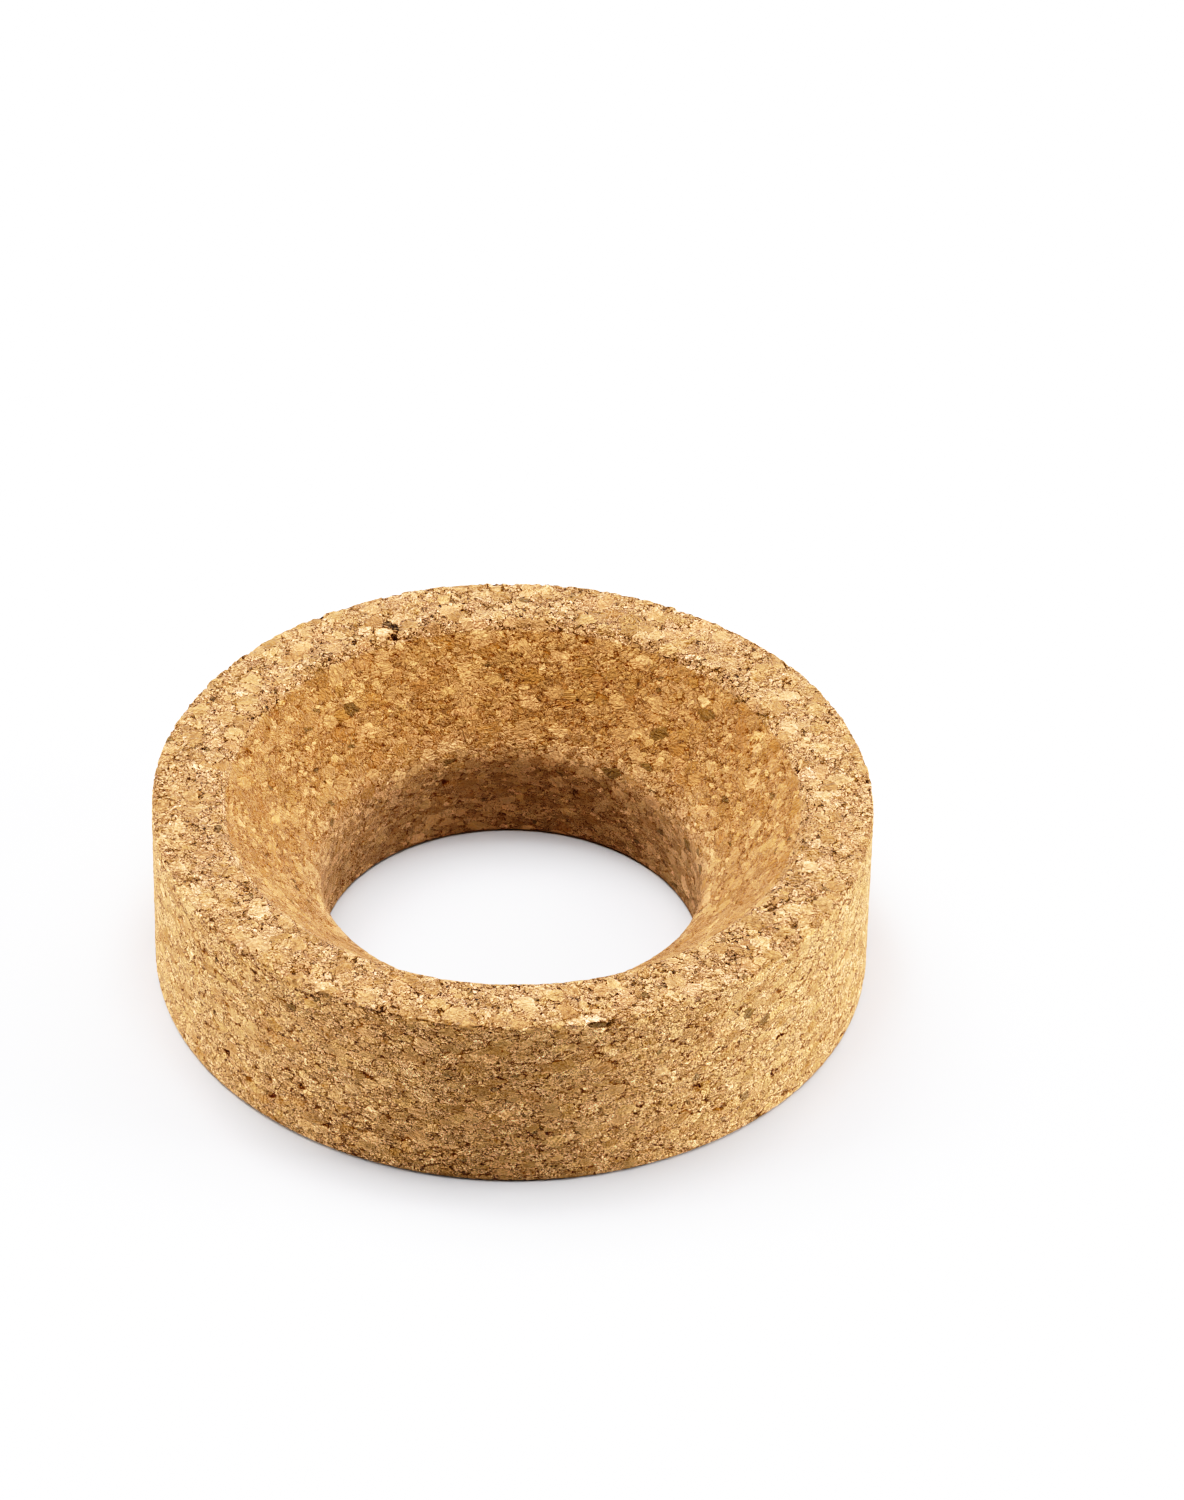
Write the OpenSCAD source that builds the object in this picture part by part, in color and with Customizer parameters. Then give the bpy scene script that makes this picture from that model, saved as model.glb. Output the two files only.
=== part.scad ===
// Cork ring: a support ring for round-bottomed laboratory flasks.
//
// One solid turned from pressed, bonded cork. It stands flat on its base. A conical seat
// runs down from the flat rim, is eased into a straight bore, and the bore goes right
// through. The ring is round about Z, with its origin at the centre of the base.

/* [Ring] */
// Outer diameter
outer_d = 110; // [104:1:180]
// Height from the base to the rim
height = 30; // [28:1:60]
// Width of the flat rim around the seat
rim_w = 10; // [4:0.5:12]

/* [Bore and seat] */
// Diameter of the straight bore
bore_d = 58; // [30:1:72]
// Depth of the conical seat below the rim
seat_depth = 15; // [6:1:22]
// Radius that eases the seat into the bore
throat_r = 3; // [0.5:0.5:5]

/* [Edges] */
// Radius of the lip between the rim and the seat
lip_r = 0.8; // [0.2:0.2:2]
// Radius of the outer edge at the rim
rim_edge_r = 0.4; // [0.2:0.2:1.6]
// Radius of the outer edge at the base
base_edge_r = 0.8; // [0.2:0.2:2]
// Radius of the bore's edge at the base
bore_edge_r = 0.8; // [0.2:0.2:2]

/* [Hidden] */
$fn = 180;
cork_tan = [0.76, 0.56, 0.35];
overlap = 0.0005; // how far a corner's disc stands proud, so that it crosses its sides cleanly

outer_r = outer_d / 2;
seat_r = outer_r - rim_w;
bore_r = bore_d / 2;
throat_z = height - seat_depth;

// The turned section, anticlockwise: [distance from the axis, height, radius of the corner]
SECTION = [
    [bore_r, 0, bore_edge_r],
    [outer_r, 0, base_edge_r],
    [outer_r, height, rim_edge_r],
    [seat_r, height, lip_r],
    [bore_r, throat_z, throat_r]
];

function unit(v) = v / norm(v);
function point(corners, i) = let (c = corners[(i + len(corners)) % len(corners)]) [c[0], c[1]];
function neighbours(corners, i) = [point(corners, i - 1), point(corners, i + 1)];

// Unit vectors from corner i along the two sides that meet there
function sides(corners, i) = [for (p = neighbours(corners, i)) unit(p - point(corners, i))];

// Half of the angle inside the outline at corner i
function half_angle(corners, i) =
    let (s = sides(corners, i)) acos(s[0] * s[1]) / 2;

// The two points where the arc at corner i touches its sides
function tangent_points(corners, i) =
    let (reach = corners[i][2] / tan(half_angle(corners, i)))
    [for (side = sides(corners, i)) point(corners, i) + side * reach];

// Centre of the arc at corner i, on the line that halves the corner
function arc_centre(corners, i) =
    let (s = sides(corners, i))
    point(corners, i) + unit(s[0] + s[1]) * corners[i][2] / sin(half_angle(corners, i));

// A convex outline whose corners are true arcs: a polygon that runs straight between the
// tangent points, and a disc in each corner that fills it out to its arc
module eased_outline(corners) {
    polygon([for (i = [0 : len(corners) - 1]) each tangent_points(corners, i)]);
    for (i = [0 : len(corners) - 1])
        translate(arc_centre(corners, i)) circle(corners[i][2] + overlap);
}

module cork_ring() {
    color(cork_tan)
        rotate_extrude() eased_outline(SECTION);
}

cork_ring();
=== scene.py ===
from math import cos, radians, sin, tau

import bmesh
import bpy
from mathutils import Matrix, Vector


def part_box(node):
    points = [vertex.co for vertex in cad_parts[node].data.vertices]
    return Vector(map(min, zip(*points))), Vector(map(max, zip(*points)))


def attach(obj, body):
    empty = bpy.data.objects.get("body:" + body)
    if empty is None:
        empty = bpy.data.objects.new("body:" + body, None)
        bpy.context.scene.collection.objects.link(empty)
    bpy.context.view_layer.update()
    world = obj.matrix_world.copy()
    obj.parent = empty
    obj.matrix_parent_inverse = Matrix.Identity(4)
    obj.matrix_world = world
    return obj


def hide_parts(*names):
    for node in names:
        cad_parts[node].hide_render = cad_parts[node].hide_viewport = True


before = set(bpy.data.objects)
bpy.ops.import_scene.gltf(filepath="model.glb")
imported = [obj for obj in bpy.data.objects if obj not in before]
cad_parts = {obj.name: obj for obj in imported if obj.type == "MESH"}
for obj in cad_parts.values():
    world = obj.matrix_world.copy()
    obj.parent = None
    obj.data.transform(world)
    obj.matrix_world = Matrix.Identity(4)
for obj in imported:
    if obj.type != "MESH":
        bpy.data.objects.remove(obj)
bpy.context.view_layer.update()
scene = bpy.context.scene

# ---------------------------------------------------------------------------------------
# Camera
# A long lens on a stand in front of the ring, looking down on it. It aims a little behind
# and to the right of the ring's middle, and leans slightly.
# ---------------------------------------------------------------------------------------
ring_middle = Vector((0, 0, 0.015))
camera_distance = 1.0337
camera_elevation = radians(38.73)
camera_aim = Vector((0.0123, 0.0309, 0.015))
camera_lean = radians(1.31)
focal_length = 161.5
film_width = 36

camera = bpy.data.objects.new("camera", bpy.data.cameras.new("camera"))
scene.collection.objects.link(camera)
camera.data.lens = focal_length
camera.data.sensor_width = film_width
camera.data.clip_start = 0.05
camera.data.clip_end = 20
stand = Vector((0, -cos(camera_elevation), sin(camera_elevation)))
camera.location = ring_middle + camera_distance * stand
upright = (camera_aim - camera.location).to_track_quat("-Z", "Y").to_matrix()
camera.rotation_euler = (upright @ Matrix.Rotation(camera_lean, 3, "Z")).to_euler()
scene.camera = camera

# ---------------------------------------------------------------------------------------
# Studio
# A matt white table in a white room. Six square softboxes hang round it, one above, two
# behind it and three at the sides, and the film holds detail in the bright cork.
# ---------------------------------------------------------------------------------------
table_width = 6.0
table_white = (0.58, 0.59, 0.615, 1)
room_brightness = 2.0

table_mesh = bmesh.new()
bmesh.ops.create_grid(table_mesh, x_segments=1, y_segments=1, size=table_width / 2)
table = bpy.data.objects.new("table_top", bpy.data.meshes.new("table_top"))
table_mesh.to_mesh(table.data)
table_mesh.free()
scene.collection.objects.link(table)
table_paint = bpy.data.materials.new("table_paint")
table_paint.use_nodes = True
paint = table_paint.node_tree.nodes["Principled BSDF"]
paint.inputs["Base Color"].default_value = table_white
paint.inputs["Roughness"].default_value = 0.9
paint.inputs["Specular IOR Level"].default_value = 0.1
table.data.materials.append(table_paint)

# The room is seen as white, but gives no light of its own.
room = bpy.data.worlds.new("room")
room.use_nodes = True
walls = room.node_tree.nodes["Background"]
walls.inputs["Color"].default_value = (1, 1, 1, 1)
seen = room.node_tree.nodes.new("ShaderNodeLightPath").outputs["Is Camera Ray"]
brightness = room.node_tree.nodes.new("ShaderNodeMath")
brightness.operation = "MULTIPLY"
brightness.inputs[1].default_value = room_brightness
room.node_tree.links.new(seen, brightness.inputs[0])
room.node_tree.links.new(brightness.outputs[0], walls.inputs["Strength"])
scene.world = room

softbox_width = 0.7
softboxes = {
    # position in metres, and power in watts
    "softbox_above": ((0, 0, 1.2), 15),
    "softbox_back_left": ((-0.487, 0.487, 0.983), 15.4),
    "softbox_back_right": ((0.487, 0.487, 0.983), 7.8),
    "softbox_left": ((-1.18, 0, 0.21), 28),
    "softbox_right": ((1.18, 0, 0.21), 27),
    "softbox_right_high": ((1.088, 0, 0.507), 9.4),
}
for name, (position, power) in softboxes.items():
    light = bpy.data.lights.new(name, "AREA")
    light.shape = "SQUARE"
    light.size = softbox_width
    light.energy = power
    softbox = bpy.data.objects.new(name, light)
    softbox.location = position
    softbox.rotation_euler = (-Vector(position)).to_track_quat("-Z", "Y").to_euler()
    scene.collection.objects.link(softbox)

brightest = 1.8
film_response = (
    # light that arrives, and how bright it is shown
    (0.04, 0.0077),
    (0.08, 0.027),
    (0.14, 0.069),
    (0.22, 0.1378),
    (0.35, 0.2618),
    (0.5, 0.4103),
    (0.65, 0.5569),
    (0.85, 0.713),
    (1.1, 0.8515),
    (1.3, 0.945),
    (1.5, 0.985),
)
scene.view_settings.view_transform = "Standard"
scene.view_settings.use_curve_mapping = True
film = scene.view_settings.curve_mapping
film.use_clip = False
film.extend = "HORIZONTAL"
*red_green_blue, all_light = film.curves
for channel in red_green_blue:
    channel.points[-1].location = (brightest, brightest)
all_light.points[-1].location = (brightest, 1)
for arriving, shown in film_response:
    all_light.points.new(arriving, shown)
film.update()

# ---------------------------------------------------------------------------------------
# Cork ring
# A stand for a round-bottomed flask, pressed from glued cork granules in one block. The
# outside, the sloping seat and the bore are turned smooth, and the rim is left rough.
# ---------------------------------------------------------------------------------------
mm = 0.001
highest_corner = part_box("cork_ring")[1] / mm
outer_radius = highest_corner.x
ring_height = highest_corner.z
bore_radius = 29
rim_width = 10
seat_depth = 15
crisp_edge = 0.5
ring_corners = (
    # radius, height, and how far the rounding reaches along each side, in millimetres
    (bore_radius, 0, 0.8),
    (outer_radius, 0, 0.8),
    (outer_radius, ring_height - crisp_edge, 0),
    (outer_radius, ring_height, 0.4),
    (outer_radius - crisp_edge, ring_height, 0),
    (outer_radius - rim_width, ring_height, 0.32),
    (bore_radius, ring_height - seat_depth, 2.2),
)
steps_round = 220
hoop_cuts = 2
row_height = 0.56
base_row_height = 6.0
shortest_side_in_rows = 2
on_the_table = 0.1
same_hoop = 0.01

# The section of the ring, cut into fine rows and spun round the upright axis.
turning = bmesh.new()
corners = [turning.verts.new((radius * mm, 0, height * mm)) for radius, height, reach in ring_corners]
for corner, following in zip(corners, corners[1:] + corners[:1]):
    turning.edges.new((corner, following))
for corner, (radius, height, reach) in zip(corners, ring_corners):
    if reach:
        bmesh.ops.bevel(
            turning, geom=[corner], offset=reach * mm, offset_type="OFFSET", segments=3,
            profile=0.5, affect="VERTICES", material=-1,
        )
for side in [edge for edge in turning.edges if edge.calc_length() > shortest_side_in_rows * mm]:
    underneath = max(end.co.z for end in side.verts) < on_the_table * mm
    row_count = side.calc_length() / mm / (base_row_height if underneath else row_height)
    bmesh.ops.subdivide_edges(turning, edges=[side], cuts=round(row_count) - 1)
bmesh.ops.spin(
    turning, geom=turning.verts[:] + turning.edges[:], axis=(0, 0, 1), cent=(0, 0, 0),
    angle=tau, steps=steps_round, use_merge=True,
)


def runs_round(edge):
    """True for an edge that follows a hoop of the ring, level and at one radius."""
    start, end = (vert.co for vert in edge.verts)
    outwards = abs(start.xy.length - end.xy.length)
    upwards = abs(start.z - end.z)
    return outwards < same_hoop * mm and upwards < same_hoop * mm


hoops = [edge for edge in turning.edges if runs_round(edge)]
bmesh.ops.subdivide_edges(turning, edges=hoops, cuts=hoop_cuts)
bmesh.ops.recalc_face_normals(turning, faces=turning.faces[:])
for face in turning.faces:
    face.smooth = True
ring = bpy.data.objects.new("cork_ring_turned", bpy.data.meshes.new("cork_ring_turned"))
turning.to_mesh(ring.data)
turning.free()
scene.collection.objects.link(ring)

granule_width = 2.5
crumb_width = 1.15
share_whole = 0.42
pressed_flat = (1, 1, 1.7)
granule_bend = (2.4, 2.4, 2.4)
pit_spacing = 9.0
pit_radius = 1.08
pit_floor_radius = 0.54
pit_bend = (3, 3, 3)
pit_squat = (1, 1, 2)
half = (0.5, 0.5, 0.5)


class CorkPattern:
    """Lays the pattern of pressed cork into a node tree, with its lengths in millimetres."""

    def __init__(self, tree):
        self.tree = tree

    def feed(self, socket, value):
        if isinstance(value, bpy.types.NodeSocket):
            self.tree.links.new(value, socket)
        else:
            socket.default_value = value

    def lay(self, kind, inputs, **settings):
        node = self.tree.nodes.new(kind)
        for name, value in settings.items():
            setattr(node, name, value)
        for name, value in inputs.items():
            self.feed(node.inputs[name], value)
        return node

    def reckon(self, operation, *values):
        return self.lay("ShaderNodeMath", dict(enumerate(values)), operation=operation).outputs[0]

    def shift(self, operation, *values):
        node = self.lay("ShaderNodeVectorMath", dict(enumerate(values)), operation=operation)
        return node.outputs["Value" if operation == "LENGTH" else "Vector"]

    def parts(self, vector):
        return self.lay("ShaderNodeSeparateXYZ", {0: vector}).outputs

    def ease(self, value, low, high, at_low=0.0, at_high=1.0):
        spans = {"Value": value, "From Min": low, "From Max": high, "To Min": at_low, "To Max": at_high}
        return self.lay("ShaderNodeMapRange", spans, interpolation_type="SMOOTHSTEP").outputs[0]

    def either(self, choice, no, yes, kind="FLOAT"):
        first = {"FLOAT": 2, "VECTOR": 4, "RGBA": 6}[kind]
        inputs = {0: choice, first: no, first + 1: yes}
        return self.lay("ShaderNodeMix", inputs, data_type=kind).outputs[first // 2 - 1]

    def dye(self, strength, colour, stain):
        inputs = {0: strength, 6: colour, 7: stain}
        return self.lay("ShaderNodeMix", inputs, data_type="RGBA", blend_type="MULTIPLY").outputs[2]

    def cloud(self, place, scale, detail, roughness=0.6, distortion=0.0):
        inputs = {
            "Vector": place, "Scale": scale, "Detail": detail,
            "Roughness": roughness, "Distortion": distortion,
        }
        return self.lay("ShaderNodeTexNoise", inputs).outputs

    def cells(self, place, width, feature="F1"):
        inputs = {"Vector": place, "Scale": 1 / width}
        return self.lay("ShaderNodeTexVoronoi", inputs, feature=feature).outputs

    def wander(self, place, scale, detail, roughness):
        """A smooth random shift, between a half back and a half forward on each axis."""
        return self.shift("SUBTRACT", self.cloud(place, scale, detail, roughness)["Color"], half)

    def granules(self, place, outlined=False):
        """Granules two or three millimetres across, more than half of them in crumbs.

        Gives each granule's own chance numbers, how far out from its middle a point is, and,
        where they are outlined, how far the point is from the next granule.
        """
        pressed = self.shift("MULTIPLY", place, pressed_flat)
        wandering = self.wander(pressed, scale=0.6, detail=4, roughness=0.7)
        bent = self.shift("MULTIPLY_ADD", wandering, granule_bend, pressed)
        whole = self.cells(bent, granule_width)
        crumbs = self.cells(bent, crumb_width)
        broken = self.reckon("GREATER_THAN", self.parts(whole["Color"])[2], share_whole)
        chance = self.either(broken, no=whole["Color"], yes=crumbs["Color"], kind="VECTOR")
        outward = self.either(broken, no=whole["Distance"], yes=crumbs["Distance"])
        if not outlined:
            return chance, outward
        whole_next = self.cells(bent, granule_width, "F2")["Distance"]
        crumbs_next = self.cells(bent, crumb_width, "F2")["Distance"]
        beyond = self.either(broken, no=whole_next, yes=crumbs_next)
        width = self.either(broken, no=granule_width, yes=crumb_width)
        to_next = self.reckon("MULTIPLY", self.reckon("SUBTRACT", beyond, outward), width)
        return chance, outward, to_next

    def pits(self, place):
        """The few holes that a coarse granule leaves, one or two millimetres across; the colour paints
        them dark as painted shade.
        """
        wandering = self.wander(place, scale=1.2, detail=3, roughness=0.6)
        ragged = self.shift("MULTIPLY_ADD", wandering, pit_bend, place)
        squat = self.shift("MULTIPLY", ragged, pit_squat)
        outward = self.cells(squat, pit_spacing)["Distance"]
        return self.ease(outward, pit_radius / pit_spacing, pit_floor_radius / pit_spacing)


# Relief: the granules stand at their own depths, deeper on the torn rim, with gaps between
# them, hollows, chips off the rim's outer edge, and pits. It only goes inwards. A pair of
# depths, in millimetres, is for the turned faces and for the torn rim.
granule_depths = (0.10, 0.22)
gap_depths = (0.12, 0.30)
hollow_depths = (0.10, 0.40)
chip_depth = 0.45
pit_depth = 0.5
full_relief_height = 1.2
outer_corner = outer_radius + ring_height

relief = bpy.data.node_groups.new("cork_relief", "GeometryNodeTree")
relief.interface.new_socket("Mesh", in_out="INPUT", socket_type="NodeSocketGeometry")
relief.interface.new_socket("Mesh", in_out="OUTPUT", socket_type="NodeSocketGeometry")
pattern = CorkPattern(relief)
in_metres = pattern.lay("GeometryNodeInputPosition", {}).outputs[0]
place = pattern.shift("MULTIPLY", in_metres, (1000, 1000, 1000))
chance, outward = pattern.granules(place)
above_table = pattern.parts(place)[2]
from_axis = pattern.shift("LENGTH", pattern.shift("MULTIPLY", place, (1, 1, 0)))
torn = pattern.ease(above_table, ring_height - 0.6, ring_height - 0.1)
lump = pattern.cloud(place, scale=0.9, detail=2)["Fac"]
depth = pattern.reckon("MULTIPLY", pattern.parts(chance)[1], pattern.either(torn, *granule_depths))
gap_and_painted_shade = pattern.ease(pattern.reckon("MULTIPLY_ADD", lump, 0.35, outward), 0.80, 1.0)
depth = pattern.reckon("MULTIPLY_ADD", gap_and_painted_shade, pattern.either(torn, *gap_depths), depth)
hollow = pattern.ease(lump, 0.5, 0.75)
depth = pattern.reckon("MULTIPLY_ADD", hollow, pattern.either(torn, *hollow_depths), depth)
towards_corner = pattern.reckon("ADD", above_table, from_axis)
at_outer_edge = pattern.ease(towards_corner, outer_corner - 1.2, outer_corner - 0.4)
chips = pattern.ease(pattern.cloud(place, scale=0.7, detail=3)["Fac"], 0.50, 0.66)
chips = pattern.reckon("MULTIPLY", chips, at_outer_edge)
depth = pattern.reckon("MULTIPLY_ADD", chips, chip_depth, depth)
depth = pattern.reckon("MULTIPLY_ADD", pattern.pits(place), pit_depth, depth)
depth = pattern.reckon("MULTIPLY", depth, pattern.ease(above_table, 0.0, full_relief_height))
outwards = pattern.lay("GeometryNodeInputNormal", {}).outputs[0]
inwards = pattern.shift("SCALE", outwards)
pattern.feed(inwards.node.inputs["Scale"], pattern.reckon("MULTIPLY", depth, -mm))
arriving = relief.nodes.new("NodeGroupInput")
pressed_in = pattern.lay("GeometryNodeSetPosition", {"Geometry": arriving.outputs[0], "Offset": inwards})
leaving = relief.nodes.new("NodeGroupOutput")
relief.links.new(pressed_in.outputs[0], leaving.inputs[0])
ring.modifiers.new("cork_relief", "NODES").node_group = relief
smooth_mesh = ring.data
ring.data = bpy.data.meshes.new_from_object(ring.evaluated_get(bpy.context.evaluated_depsgraph_get()))
ring.modifiers.clear()
bpy.data.meshes.remove(smooth_mesh)

# Colour: a warm brown, first as how light each spot is, then with its darker spots redder,
# partly the cork's own colour and partly painted bounce light, as light reddens in a hollow.
# The rim, the lip of the seat and the chipped outer edge are torn. Outside are the outer wall
# and the rim's outermost part, and inside are the seat and the bore.
share_paler = 0.06
share_bark = 0.011
growth_lines = 9.0
widest_turn = 40.0
cork_brown = (0.475, 0.268, 0.123, 1)
redder = (1.02, 0.985, 1.0, 1)
yellower = (0.99, 1.0, 0.94, 1)
grey_bark = (0.58, 0.63, 0.62, 1)
turned_seat = (1.02, 0.99, 0.88, 1)
# The turned wall is paler than the rim, partly its own colour and partly painted sheen, the paleness of
# a face seen edge on.
turned_wall_and_painted_sheen = (1.36, 1.385, 1.29, 1)
# Painted light: the bore is paler and bluer, as if lit by the white table.
painted_table_light_in_bore = (1.16, 1.24, 1.45, 1)

cork = bpy.data.materials.new("cork")
cork.use_nodes = True
pattern = CorkPattern(cork.node_tree)
shader = cork.node_tree.nodes["Principled BSDF"]
in_metres = pattern.lay("ShaderNodeTexCoord", {}).outputs["Object"]
place = pattern.shift("MULTIPLY", in_metres, (1000, 1000, 1000))
chance, outward, to_next = pattern.granules(place, outlined=True)
tone, tint, luck = pattern.parts(chance)
above_table = pattern.parts(place)[2]
from_axis = pattern.shift("LENGTH", pattern.shift("MULTIPLY", place, (1, 1, 0)))
outside = pattern.ease(from_axis, outer_radius - 5, outer_radius - 4)
on_top = pattern.ease(above_table, ring_height - 1.4, ring_height - 1.1)
off_the_wall = pattern.ease(from_axis, outer_radius - 0.05, outer_radius - 0.35)
torn = pattern.reckon("MULTIPLY", on_top, off_the_wall)
turned_smooth = pattern.reckon("SUBTRACT", 1.0, torn)
inside = pattern.reckon("SUBTRACT", 1.0, pattern.reckon("MAXIMUM", torn, outside))

# Each granule lies its own way round, so its rows of cells and its growth lines do too. A
# growth line is dark, with a painted glint beside it: a bright stroke that is a painted highlight.
own_axis = pattern.shift("SUBTRACT", chance, half)
own_angle = pattern.reckon("MULTIPLY", luck, widest_turn)
flattened = pattern.shift("MULTIPLY", place, (1, 1, 1.4))
lying = pattern.lay(
    "ShaderNodeVectorRotate", {"Vector": flattened, "Axis": own_axis, "Angle": own_angle},
    rotation_type="AXIS_ANGLE",
).outputs[0]
along_rows = pattern.shift("MULTIPLY", lying, (0.7, 1.8, 1.8))
rows = pattern.cloud(along_rows, scale=1.0, detail=2, roughness=0.6, distortion=0.8)["Fac"]
along_growth = pattern.shift("MULTIPLY", lying, (0.45, 1.1, 1.1))
growth = pattern.cloud(along_growth, scale=1.0, detail=2, roughness=0.45, distortion=1.2)["Fac"]
stripe = pattern.reckon("PINGPONG", pattern.reckon("MULTIPLY", growth, growth_lines), 0.5)
grain = pattern.cloud(place, scale=3.6, detail=1)["Fac"]
patch = pattern.cloud(place, scale=0.42, detail=2)["Fac"]
busy = pattern.ease(pattern.reckon("MULTIPLY_ADD", luck, 0.25, patch), 0.42, 0.75)
faint = pattern.either(outside, no=1.0, yes=0.77)

line = pattern.ease(stripe, 0.13, 0.05)
line = pattern.reckon("MULTIPLY", line, pattern.ease(busy, 0.10, 0.50))
line = pattern.reckon("MULTIPLY", line, faint)
beside_line = pattern.reckon("ABSOLUTE", pattern.reckon("SUBTRACT", stripe, 0.21))
painted_glint = pattern.ease(beside_line, 0.07, 0.02)
painted_glint = pattern.reckon("MULTIPLY", painted_glint, pattern.ease(busy, 0.2, 0.8))
painted_glint = pattern.reckon("MULTIPLY", painted_glint, pattern.either(torn, no=1.0, yes=0.55))

# A granule has a broken dark outline, partly its own dark joint and partly painted shadow,
# with a painted highlight as a pale border inside it.
rough_edge = pattern.reckon("MULTIPLY_ADD", grain, 0.22, to_next)
outline_and_painted_shadow = pattern.ease(rough_edge, 0.26, 0.17)
outline_and_painted_shadow = pattern.reckon("MULTIPLY", outline_and_painted_shadow, pattern.ease(rows, 0.58, 0.44))
outline_and_painted_shadow = pattern.reckon("MULTIPLY", outline_and_painted_shadow, faint)
beside_edge = pattern.reckon("ABSOLUTE", pattern.reckon("SUBTRACT", rough_edge, 0.38))
painted_edge_highlight = pattern.ease(beside_edge, 0.12, 0.03)
# The gaps between granules are painted darker as painted shade, where the relief sinks too.
gap_and_painted_shade = pattern.ease(pattern.reckon("MULTIPLY_ADD", grain, 0.35, outward), 0.92, 1.06)

inner_marks = (
    # a mark, its low and high values, and how light the cork is at each
    (rows, 0.48, 0.68, 1.0, 1.18),
    (rows, 0.30, 0.44, 0.78, 1.0),
    (grain, 0.34, 0.66, 0.82, 1.20),
    # the glint is a painted highlight
    (painted_glint, 0.0, 1.0, 1.0, 1.6),
    (line, 0.0, 1.0, 1.0, 0.16),
)
# Along the edges, the pale border is a painted highlight, the outline partly painted shadow, and the
# gaps and pits painted shade.
edge_marks = (
    (painted_edge_highlight, 0.0, 1.0, 1.0, 1.3),
    (outline_and_painted_shadow, 0.0, 1.0, 1.0, 0.18),
    (gap_and_painted_shade, 0.0, 1.0, 1.0, 0.55),
    (pattern.pits(place), 0.0, 1.0, 1.0, 0.3),
)
fine = 1.0
for mark in inner_marks:
    fine = pattern.reckon("MULTIPLY", fine, pattern.ease(*mark))
# Half of the whole granules and a fifth of the crumbs are plain, with faint marks inside.
plain = pattern.ease(luck, 0.24, 0.18)
fine = pattern.reckon("POWER", fine, pattern.either(plain, no=1.1, yes=0.35))
for mark in edge_marks:
    fine = pattern.reckon("MULTIPLY", fine, pattern.ease(*mark))
contrast_outside = pattern.either(torn, no=1.5, yes=1.58)
fine = pattern.reckon("POWER", fine, pattern.either(inside, no=contrast_outside, yes=0.54))
shade = pattern.ease(tone, 0.0, 1.0, at_low=0.84, at_high=1.15)
paler = pattern.ease(tone, 1.0 - share_paler, 0.98, at_low=1.0, at_high=1.12)
shade = pattern.reckon("MULTIPLY", shade, paler)
shade = pattern.reckon("POWER", shade, pattern.either(outside, no=1.45, yes=1.15))
shade = pattern.reckon("MULTIPLY", shade, fine)

# Darker spots turn redder: partly the cork's own colour, partly painted bounce light in hollows.
reddening_own_and_bounce = pattern.reckon("MULTIPLY", shade, pattern.either(torn, no=1.15, yes=1.4))
reddening_own_and_bounce = pattern.reckon("MINIMUM", reddening_own_and_bounce, 1.0)
green = pattern.reckon(
    "MULTIPLY",
    pattern.reckon("POWER", reddening_own_and_bounce, pattern.either(torn, no=0.6, yes=0.35)),
    pattern.reckon("POWER", shade, pattern.either(torn, no=1.1, yes=1.05)),
)
blue = pattern.reckon(
    "MULTIPLY",
    pattern.reckon("POWER", reddening_own_and_bounce, 2.2),
    pattern.reckon("POWER", shade, 1.35),
)
colour = pattern.lay("ShaderNodeCombineXYZ", {0: shade, 1: green, 2: blue}).outputs[0]
colour = pattern.dye(1.0, colour, cork_brown)
colour = pattern.dye(pattern.ease(tint, 0.65, 0.95), colour, redder)
colour = pattern.dye(pattern.ease(tint, 0.35, 0.05), colour, yellower)
colour = pattern.dye(pattern.reckon("LESS_THAN", tone, share_bark), colour, grey_bark)
# The turned wall's tint carries painted sheen as well as its own colour.
turned = pattern.either(outside, no=turned_seat, yes=turned_wall_and_painted_sheen, kind="RGBA")
colour = pattern.dye(turned_smooth, colour, turned)
# Painted light: the white table's light spilling into the bore.
colour = pattern.dye(pattern.ease(from_axis, bore_radius + 5, bore_radius), colour, painted_table_light_in_bore)
pattern.feed(shader.inputs["Base Color"], colour)

# Finish: dry and matt, with the pale bloom of cut cells where it is seen edge on.
shader.inputs["Roughness"].default_value = 0.75
shader.inputs["Specular IOR Level"].default_value = 0.05
shader.inputs["Sheen Weight"].default_value = 0.2
shader.inputs["Sheen Roughness"].default_value = 0.15
shader.inputs["Sheen Tint"].default_value = (1, 0.94, 0.86, 1)

# Bump, in millimetres: rows stand up, growth lines sink, and each granule is domed and
# stands at its own height.
dome = pattern.reckon("MULTIPLY", outward, outward)
bumps = pattern.reckon("MULTIPLY", rows, 1.2)
bumps = pattern.reckon("MULTIPLY_ADD", line, -0.12, bumps)
bumps = pattern.reckon("MULTIPLY_ADD", dome, -0.32, bumps)
bumps = pattern.reckon("MULTIPLY_ADD", tint, 0.12, bumps)
bump = pattern.lay("ShaderNodeBump", {"Strength": 1.0, "Distance": mm, "Height": bumps})
pattern.feed(shader.inputs["Normal"], bump.outputs[0])
ring.data.materials.clear()
ring.data.materials.append(cork)
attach(ring, "root")
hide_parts("cork_ring")
